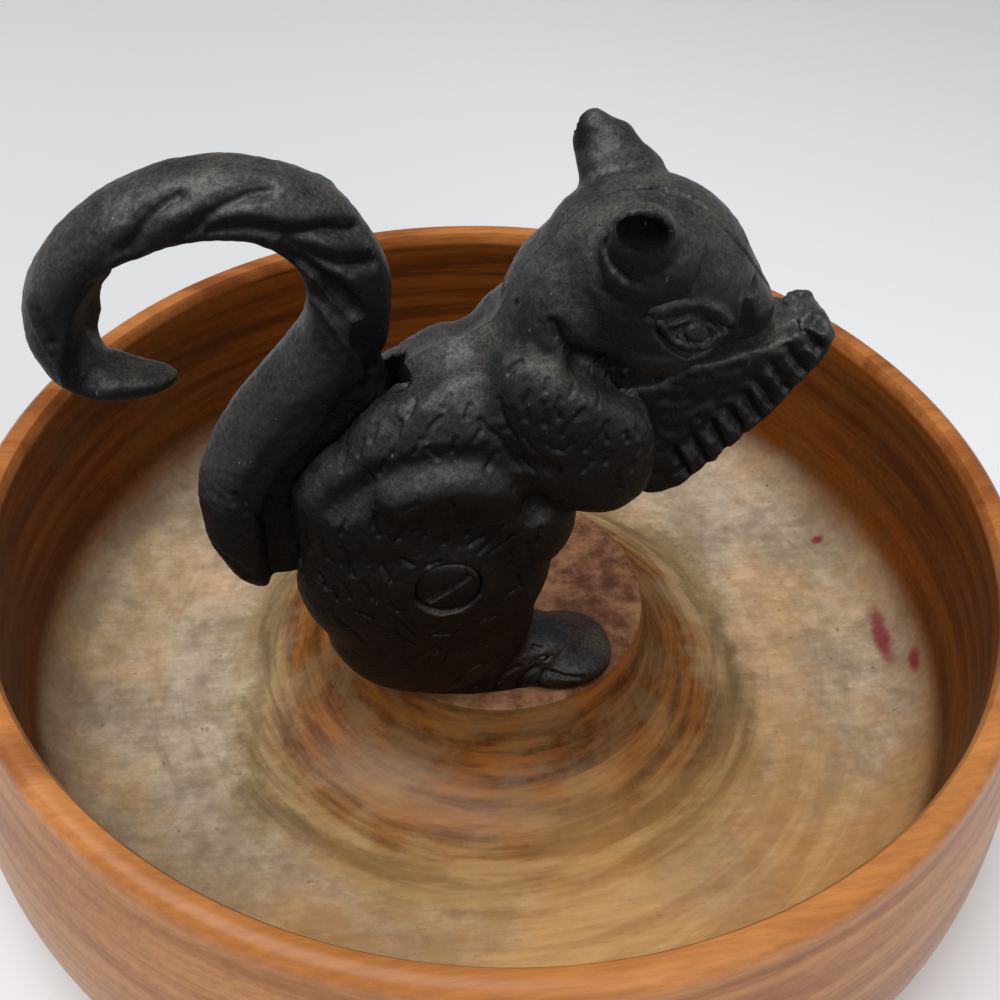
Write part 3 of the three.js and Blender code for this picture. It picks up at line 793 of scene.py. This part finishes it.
# Ridges of the paws: outer end of each along and up, the way it runs in degrees, and its length
paw_ridges = [
    (60.4, 98.4, 140, 7.4), (58.4, 93.4, 131, 10), (56, 88.6, 127, 13), (53.6, 84, 124, 15),
    (51, 79.6, 122, 16), (48, 75.4, 120, 17), (44.8, 71.3, 118, 17), (41.3, 67.4, 117, 17),
    (37.3, 63.8, 117, 17),
]
ridge_thickness = 4.9
paw_width, web_width, hub_diameter = 16, 6.4, 19
paw_grain, lever_grain = 0.8 * mm, 0.5 * mm


def through(table, place):
    last = len(table) - 1
    i = np.clip(np.floor(place).astype(int), 0, last - 1)
    part = (place - i)[:, None]
    a, b, c, d = (table[np.clip(i + k, 0, last)] for k in (-1, 0, 1, 2))
    return b + part / 2 * (c - a + part * (2 * a - 5 * b + 4 * c - d + part * (3 * (b - c) + d - a)))


def swept(name, stations):
    bpy.ops.mesh.primitive_uv_sphere_add(segments=48, ring_count=160, radius=1)
    piece = bpy.context.object
    piece.name = name
    x, y, z = positions(piece).T
    table = np.array(stations, float)
    place = np.arccos(np.clip(z, -1, 1)) / math.pi * (len(table) - 1)
    turn = np.arctan2(y, x)
    right_x, right_z, left_x, left_z, width, right_round, left_round, turned_face = through(table, place).T
    towards_left = np.cos(turn) > 0
    tip = np.hypot(x, y) < 1e-6
    rounding = np.where(towards_left, left_round, right_round)
    out = np.where(tip, 0, np.sign(np.cos(turn)) * np.abs(np.cos(turn)) ** rounding)
    over = np.where(tip, 0, np.sign(np.sin(turn)) * np.abs(np.sin(turn)) ** rounding)
    half_x, half_z = (left_x - right_x) / 2, (left_z - right_z) / 2
    bar = np.hypot(half_x, half_z)
    out = out + np.where(towards_left, out * over * turned_face / np.maximum(bar, 1), 0)
    place_points(piece, np.stack([
        ((right_x + left_x) / 2 + half_x * out) * mm, seam + over * width * mm,
        sole + ((right_z + left_z) / 2 + half_z * out) * mm,
    ], axis=1))
    edit_all(piece, faced_outwards)
    return piece


def ridge(along, up, lift, length):
    turn = math.radians(lift)
    return rounded_mass(
        along + length / 2 * math.cos(turn), up + length / 2 * math.sin(turn),
        length / 2, ridge_thickness / 2, paw_width / 2 + 0.5, lift,
    )


paws = slab("paws", paw_outline, paw_width - 1)
remesh(paws, paw_grain)
soften(paws, 10)
lever = run_together(
    [swept("tail", tail_stations), slab("web", web_outline, web_width), paws,
     drum("hub", pivot_along, pivot_up, hub_diameter, -paw_width / 2, paw_width / 2)]
    + [ridge(*each) for each in paw_ridges],
    "painted_tail_lever", lever_grain,
)
cut_away(lever, [drum("pin_bore", pivot_along, pivot_up, pivot_bore, -paw_width, paw_width)])
soften(lever, 4)

# Tail: the pattern's long twisting cuts, the deepest one by the bend, the swells between them, the
# worn edge of the curl, and two nicks low down
tail_cuts = [
    [(178, 196), (165, 203), (152, 215), (143, 227), (134, 240), (125, 251)],
    [(268, 191), (250, 194), (235, 200), (220, 208), (207, 217), (198, 227), (188, 235)],
    [(355, 228), (340, 230), (325, 228), (310, 232), (290, 235), (270, 232), (250, 228), (228, 229),
     (210, 232)],
    [(285, 240), (305, 250), (320, 258), (335, 265), (350, 266), (372, 262)],
    [(287, 248), (302, 262), (320, 276), (335, 285), (345, 300), (356, 313)],
]
carve(lever, tail_cuts, 2.7, 0.8)
carve(lever, tail_cuts, 1.0, 0.35)
carve(lever, [[(300, 258), (318, 272), (335, 287), (350, 303), (362, 316)]], 1.7, 0.9)
carve(lever, [[(250, 215), (290, 216), (330, 214)], [(300, 243), (330, 248), (360, 246)]], 3, -0.5)
carve(lever, [[(28, 303), (35, 325), (45, 345), (54, 360)]], 1.4, -0.5)
carve(lever, [[(34, 300), (41, 322), (51, 343)]], 1.6, 0.4)
carve(lever, [[(215, 548), (235, 565), (247, 577)], [(235, 498), (248, 511), (263, 517)]], 2, 0.5)

# The crease of the lower bend and the hollow in front of it
twist_hollow = [(330, 300), (346, 320), (362, 342), (376, 364), (384, 384)]
twist_crease = [(306, 292), (322, 311), (336, 330), (346, 346), (356, 362), (362, 380)]
carve(lever, [twist_hollow], 5.5, 1.9)
carve(lever, [twist_crease], 1.2, -0.8)

# The curl: hollow inside, with a thin raised edge
curl_edge = [(125, 251), (105, 268), (87, 290), (75, 310), (68, 330), (62, 350), (58, 368), (65, 385)]
curl_inside = [(124, 268), (106, 292), (94, 316), (86, 340), (84, 364), (92, 378)]
carve(lever, [curl_inside], 5, 1.5)
carve(lever, [curl_edge], 1.3, -0.4)
carve(lever, [[(347, 402), (356, 408)], [(349, 411), (357, 415)]], 0.9, 0.35, False)

# Paws: the hollow at the tip and the gaps between the ridges
carve(lever, [[(808, 322), (816, 317), (822, 325)]], 1.7, 1.7)
paw_gaps = [
    [(819, 350), (805, 332), (796, 322)], [(805, 373), (794, 358), (788, 348)],
    [(790, 393), (777, 374), (770, 364)], [(775, 409), (764, 391), (757, 381)],
    [(762, 422), (752, 406), (744, 393)], [(746, 438), (736, 421), (728, 408)],
    [(728, 453), (718, 436), (711, 422)], [(709, 466), (700, 450), (692, 437)],
    [(690, 478), (680, 462), (673, 447)],
]
carve(lever, paw_gaps, 1.25, 1.1)

# Unevenness of the casting, the middle one on the paws only
roughen(lever, size=6, height=0.25, seed=3)
roughen(lever, size=2.4, height=0.35, seed=5, ahead_of=0.022)
roughen(lever, size=1.5, height=0.13, seed=4)
dress(lever, iron, 60)
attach(lever, "lever")
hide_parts("tail_lever")


# Bowl: one turned blank of wood, oiled and worn, with the post left standing in its middle.
# Knots of its section from the axis outwards and up, in mm
outside_knots = [
    (0, 0), (60, 0), (98, 0), (108, 0.35), (123.2, 4.9), (132.5, 15.6), (135.5, 29.6), (133.4, 50.7),
    (128, 74.3),
]
rim_knots = [(127.8, 75.8), (127.1, 77.3), (125.6, 78.3), (123.6, 78.4), (122, 77.9), (121.2, 76.5)]
inside_knots = [(121.2, 70), (122.5, 48), (119.6, 27), (113, 20.2), (103, 18), (80, 17.4), (64, 18)]
post_knots = [(55, 20), (47.2, 24.4), (42.8, 29.5), (41.2, 34.2), (40, 39.5), (39.8, 40.9)]
top_knots = [(39.5, 41.5), (38.9, 41.7), (20, 41.7), (0, 41.7)]


def smooth_run(knots, steps):
    table = np.array(knots, float)
    return through(table, np.linspace(0, len(table) - 1, steps)).clip(0).tolist()


def turned(name, profile, steps):
    points = [(radius * mm, 0, up * mm) for radius, up in profile]
    piece = drawn(name, points, [(k, k + 1) for k in range(len(points) - 1)], [])
    full_turn = {"steps": steps, "angle": 2 * math.pi, "center": (0, 0, 0), "axis": (0, 0, 1)}
    edit_all(
        piece, (bpy.ops.mesh.spin, full_turn),
        (bpy.ops.mesh.remove_doubles, {"threshold": 0.00001}), faced_outwards,
    )
    return piece


# Wood of the bowl: side grain turned on a lathe, amber outside and on the rim, darker on the inner
# wall, and worn to a dull tan on the floor, where nuts were kept
oiled, tree, shader = new_material("oiled wood")
place = node("TexCoord").outputs["Object"]
across = vector_math("MULTIPLY", place, (1, 1, 0))
radius = vector_math("LENGTH", across, output="Value")
level, far_side = axis_of(place, "Z"), axis_of(place, "Y")
grain_turn = 28
cloud = noise_of(place, 20, 4, 0.6)
patches = noise_of(place, 42, 8, 0.75)
mottle = noise_of(place, 150, 6, 0.7)
fibres = noise_of(stretched(place, grain_turn, (0.12, 1, 1)), 620, 5, 0.7)
figure = noise_of(stretched(place, grain_turn, (0.25, 1, 1)), 55, 4, 0.6, 0.6)


def spun(vector, angle):
    return node("VectorRotate", {"Vector": vector, "Axis": (0, 0, 1), "Angle": angle}).outputs[0]


# Marks that run round the bowl: the direction from the axis, and the way out along the surface
outwards = math_of("SUBTRACT", radius, level)
twist = spun(vector_math("NORMALIZE", across), times(radius, 16))


def running_round(turns, per_metre, detail, roughness=0.6):
    rise = node("CombineXYZ", {"Z": times(outwards, per_metre / turns)}).outputs[0]
    return noise_of(vector_math("ADD", twist, rise), turns, detail, roughness)


sweeps = running_round(1.6, 190, 6)
tool_lines = running_round(1.1, 1500, 3, 0.5)

# Where one tone ends and the next begins, in metres from the axis or up from the foot
post_radius, post_top, underside_top, dull_top = 0.05, 0.0414, 0.0168, 0.0285
rim_crest, past_crest = 0.1236, 0.1246

# Floor: dull tan with warmer patches, dark sweeps, mottling and dots, and darker by the wall
# Painted light: a mask for the front of the bowl, whose floor and rim are painted lighter
front = math_of("ADD", times(far_side, -1), times(cloud, 0.10))
front = ramp(front, 0.08, 0.15)
floor_tone = toned(patches, 0.34, 0.66, (0.36, 0.275, 0.18, 1), (0.60, 0.49, 0.365, 1))
warm = times(ramp(cloud, 0.45, 0.68), 0.6)
floor_tone = blend(warm, floor_tone, (0.66, 0.40, 0.175, 1))
swept_dark = times(ramp(sweeps, 0.52, 0.72), 0.4)
floor_tone = blend(swept_dark, floor_tone, (0.25, 0.17, 0.10, 1))
mottling = toned(mottle, 0.35, 0.65, (0.5, 0.5, 0.5, 1), (1.4, 1.4, 1.4, 1))
floor_tone = blend(0.35, floor_tone, mottling, "MULTIPLY")
dots = ramp(noise_of(place, 330, 3, 0.6), 0.67, 0.74)
floor_tone = blend(times(dots, 0.6), floor_tone, (0.10, 0.065, 0.04, 1))
by_wall = math_of("ADD", radius, times(sweeps, 0.006))
by_wall = times(ramp(by_wall, 0.108, 0.122), 0.6)
floor_tone = blend(by_wall, floor_tone, (0.17, 0.09, 0.04, 1))

# Flare at the post's foot, with a belt of dirt round it that lies further out on the near side
flare_tone = toned(sweeps, 0.35, 0.65, (0.105, 0.034, 0.006, 1), (0.36, 0.13, 0.024, 1))
worn_flare = ramp(patches, 0.45, 0.6, 0, 0.5)
flare_tone = blend(worn_flare, flare_tone, (0.25, 0.17, 0.085, 1))
dirt = toned(sweeps, 0.36, 0.64, (0.23, 0.145, 0.065, 1), (0.46, 0.315, 0.155, 1))
flare = math_of("ADD", radius, times(math_of("SUBTRACT", patches, 0.5), 0.03))
flare = math_of("SUBTRACT", flare, ramp(far_side, 0, -0.05, 0, 0.009))
floor_tone = blend(ramp(flare, 0.078, 0.063), floor_tone, dirt)
floor_tone = blend(ramp(flare, 0.064, 0.052), floor_tone, flare_tone)
# A darker ring round the foot of the flare
darker_ring_by_flare = times(ramp(flare, 0.062, 0.065), ramp(flare, 0.072, 0.066))
floor_tone = blend(times(darker_ring_by_flare, 0.4), floor_tone, (0.12, 0.07, 0.03, 1))

# Front of the floor, painted lighter and warmer as painted light, for the stronger light there
painted_light_front_tone = toned(sweeps, 0.4, 0.62, (0.52, 0.245, 0.065, 1), (0.72, 0.40, 0.135, 1))
floor_tone = blend(times(front, 0.82), floor_tone, painted_light_front_tone)

# Inner wall
wall_tone = toned(sweeps, 0.35, 0.65, (0.095, 0.023, 0.001, 1), (0.21, 0.058, 0.005, 1))
figured_wall = ramp(figure, 0.45, 0.7, 0, 0.6)
wall_tone = blend(figured_wall, wall_tone, (0.14, 0.055, 0.012, 1))
wall_level = math_of("ADD", level, times(math_of("SUBTRACT", sweeps, 0.5), 0.008))
colour = blend(ramp(wall_level, 0.0225, 0.0315), floor_tone, wall_tone)

# Post and its worn top
post_mask = math_of("LESS_THAN", radius, post_radius)
colour = blend(post_mask, colour, flare_tone)
top_marks = math_of("ADD", times(patches, 0.6), times(mottle, 0.4))
top_tone = toned(top_marks, 0.40, 0.60, (0.11, 0.038, 0.016, 1), (0.42, 0.20, 0.10, 1))
top_mask = times(post_mask, math_of("GREATER_THAN", level, post_top))
colour = blend(top_mask, colour, top_tone)

# Outside with the underside, and the rim, which is painted lighter at the front as painted light
outer_tone = toned(sweeps, 0.3, 0.7, (0.30, 0.10, 0.024, 1), (0.52, 0.225, 0.068, 1))
underside = math_of("LESS_THAN", level, underside_top)
outside = math_of("MAXIMUM", ramp(radius, rim_crest, past_crest), underside)
colour = blend(outside, colour, outer_tone)
rim_tone = toned(figure, 0.35, 0.65, (0.29, 0.08, 0.014, 1), (0.52, 0.185, 0.044, 1))
# Painted light: the near rim lighter, for the stronger light that falls there
rim_tone = blend(times(front, 0.35), rim_tone, (0.72, 0.31, 0.09, 1))
rim_mask = ramp(level, 0.0735, 0.0755)
colour = blend(rim_mask, colour, rim_tone)
inside = math_of("LESS_THAN", radius, rim_crest)
dull = times(math_of("LESS_THAN", level, dull_top), inside)
fibre_tint = toned(fibres, 0.3, 0.7, (0.55, 0.52, 0.5, 1), (1.2, 1.2, 1.2, 1))
colour = blend(ramp(dull, 0, 1, 0.4, 0.25), colour, fibre_tint, "MULTIPLY")

# Berry stains on the floor to the right: middle, half length, half width, and turn in degrees
berry_red = (0.21, 0.012, 0.025, 1)
berry_stains = [
    (0.1115, -0.0128, 0.0125, 0.0026, 81), (0.115, -0.0252, 0.0048, 0.0013, 73),
    (0.1075, 0.0275, 0.0022, 0.0018, 0),
]
ragged_edge = times(math_of("SUBTRACT", noise_of(place, 420, 3), 0.5), 0.7)
for stain_x, stain_y, long_half, short_half, turn in berry_stains:
    laid = spun(vector_math("SUBTRACT", across, (stain_x, stain_y, 0)), math.radians(-turn))
    laid = vector_math("MULTIPLY", laid, (1 / long_half, 1 / short_half, 0))
    apart = math_of("ADD", vector_math("LENGTH", laid, output="Value"), ragged_edge)
    stained = times(ramp(apart, 1.2, 0.35), times(dull, 0.85))
    colour = blend(stained, colour, berry_red)

grain_height = math_of("ADD", times(fibres, 0.6), times(tool_lines, 0.5))
bump = node("Bump", {"Height": grain_height, "Strength": 0.25, "Distance": 0.0004})
rubbed = times(math_of("MAXIMUM", outside, rim_mask), 0.45)
oil = math_of("MAXIMUM", rubbed, ramp(radius, 0.07, 0.06, 0, 0.4))
feed(
    shader, Base_Color=colour, Normal=bump.outputs["Normal"], Specular_IOR_Level=0.12,
    Roughness=ramp(dull, 0, 1, 0.5, 0.75),
    Coat_Weight=oil, Coat_Roughness=0.28, Coat_IOR=1.5,
)

bowl = turned(
    "turned_bowl",
    smooth_run(outside_knots, 60) + rim_knots + smooth_run(inside_knots, 48)
    + smooth_run(post_knots, 20) + top_knots,
    180,
)

# Bores of the mounting screws, which run on past the wood so that no skin is left over them
screw_head_room, screw_head_ceiling = 13.6, 26
cut_away(bowl, [upright(x, y, screw_head_room, -2, screw_head_ceiling) for x, y in mount_places])
cut_away(bowl, [upright(x, y, mount_bore, 20, 60) for x, y in mount_places])
dress(bowl, oiled, 40)
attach(bowl, "stand")
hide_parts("bowl")


# Fasteners. The clamp screw draws the halves together against a square nut on the left side. It
# was painted over with the body, so it is black iron; its head is turned, slightly domed and slotted.
screw_low, screw_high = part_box("clamp_screw")
nut_low, nut_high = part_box("clamp_nut")
screw_x, screw_z = (screw_low.x + screw_high.x) / 2, (screw_low.z + screw_high.z) / 2
head_height = 3.2
shank_length = (screw_high.y - screw_low.y) / mm - head_height

# Section of the screw from its tip, distance from the axis and height in mm
shank_section = [(0, 0), (2.9, 0), (3.5, 0.6), (3.5, shank_length)]
head_section = [
    (6.7, 0), (7.1, 0.4), (7.1, 3.1), (6.95, 3.5), (6.5, 3.75), (5, 4.0), (3, 4.2), (0, 4.3),
]
screw_section = shank_section + [(out, shank_length + up) for out, up in head_section]
screw = turned("slotted_clamp_screw", screw_section, 72)
screw.rotation_euler = (math.pi / 2, 0, 0)
screw.location = (screw_x, screw_high.y, screw_z)
set_in_place(screw)
slot_length, slot_depth, slot_width, slot_turn = 11.4 * mm, 3.4 * mm, 1.9 * mm, math.radians(-38)
bpy.ops.mesh.primitive_cube_add(
    size=1, location=(screw_x, screw_low.y - 0.5 * mm, screw_z),
    rotation=(0, slot_turn, 0), scale=(slot_length, slot_depth, slot_width),
)
cut_away(screw, [bpy.context.object])


def round_edges(piece, width, steeper_than):
    limit = math.radians(steeper_than)
    finish_with(piece, "BEVEL", width=width * mm, segments=2, limit_method="ANGLE", angle_limit=limit)


round_edges(screw, 0.18, steeper_than=35)

bpy.ops.mesh.primitive_cube_add(size=1, location=(nut_low + nut_high) / 2, scale=nut_high - nut_low)
square_nut = bpy.context.object
square_nut.name = "square_clamp_nut"
set_in_place(square_nut)
finish_with(square_nut, "BEVEL", width=0.8 * mm, segments=3)
cut_away(square_nut, [drum("nut_bore", clamp_along, clamp_up, clamp_bore, 0, 30)])
round_edges(square_nut, 0.25, steeper_than=50)
for fastener, node_name in ((screw, "clamp_screw"), (square_nut, "clamp_nut")):
    dress(fastener, iron, 30)
    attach(fastener, "stand")
    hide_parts(node_name)

# Pivot pin, locating pins, and the screws and washers under the bowl: plain bright steel, with fine
# turning marks, dulled in patches and browned a little where damp reached them
bright_steel, tree, shader = new_material("bright steel")
place = node("TexCoord").outputs["Object"]
turning = noise_of(stretched(place, 0, (1, 0.15, 1)), 2600, 3, 0.6)
dulled = ramp(noise_of(place, 260, 5, 0.65), 0.42, 0.62)
browned = ramp(noise_of(place, 420, 4, 0.6), 0.60, 0.70, 0, 0.7)
colour = blend(dulled, (0.56, 0.56, 0.57, 1), (0.36, 0.36, 0.37, 1))
colour = blend(browned, colour, (0.20, 0.10, 0.045, 1))
bump = node("Bump", {"Height": turning, "Strength": 0.2, "Distance": 0.0001})
feed(
    shader, Base_Color=colour, Normal=bump.outputs["Normal"],
    Metallic=ramp(browned, 0, 0.7, 1, 0.2),
    Roughness=ramp(dulled, 0, 1, 0.28, 0.5),
)
for name in (
    "pivot_pin", "locating_pin_head", "locating_pin_heel",
    "mount_screw_right", "mount_screw_left", "mount_washer_right", "mount_washer_left",
):
    for finish in bpy.data.objects[name].material_slots:
        finish.material = bright_steel
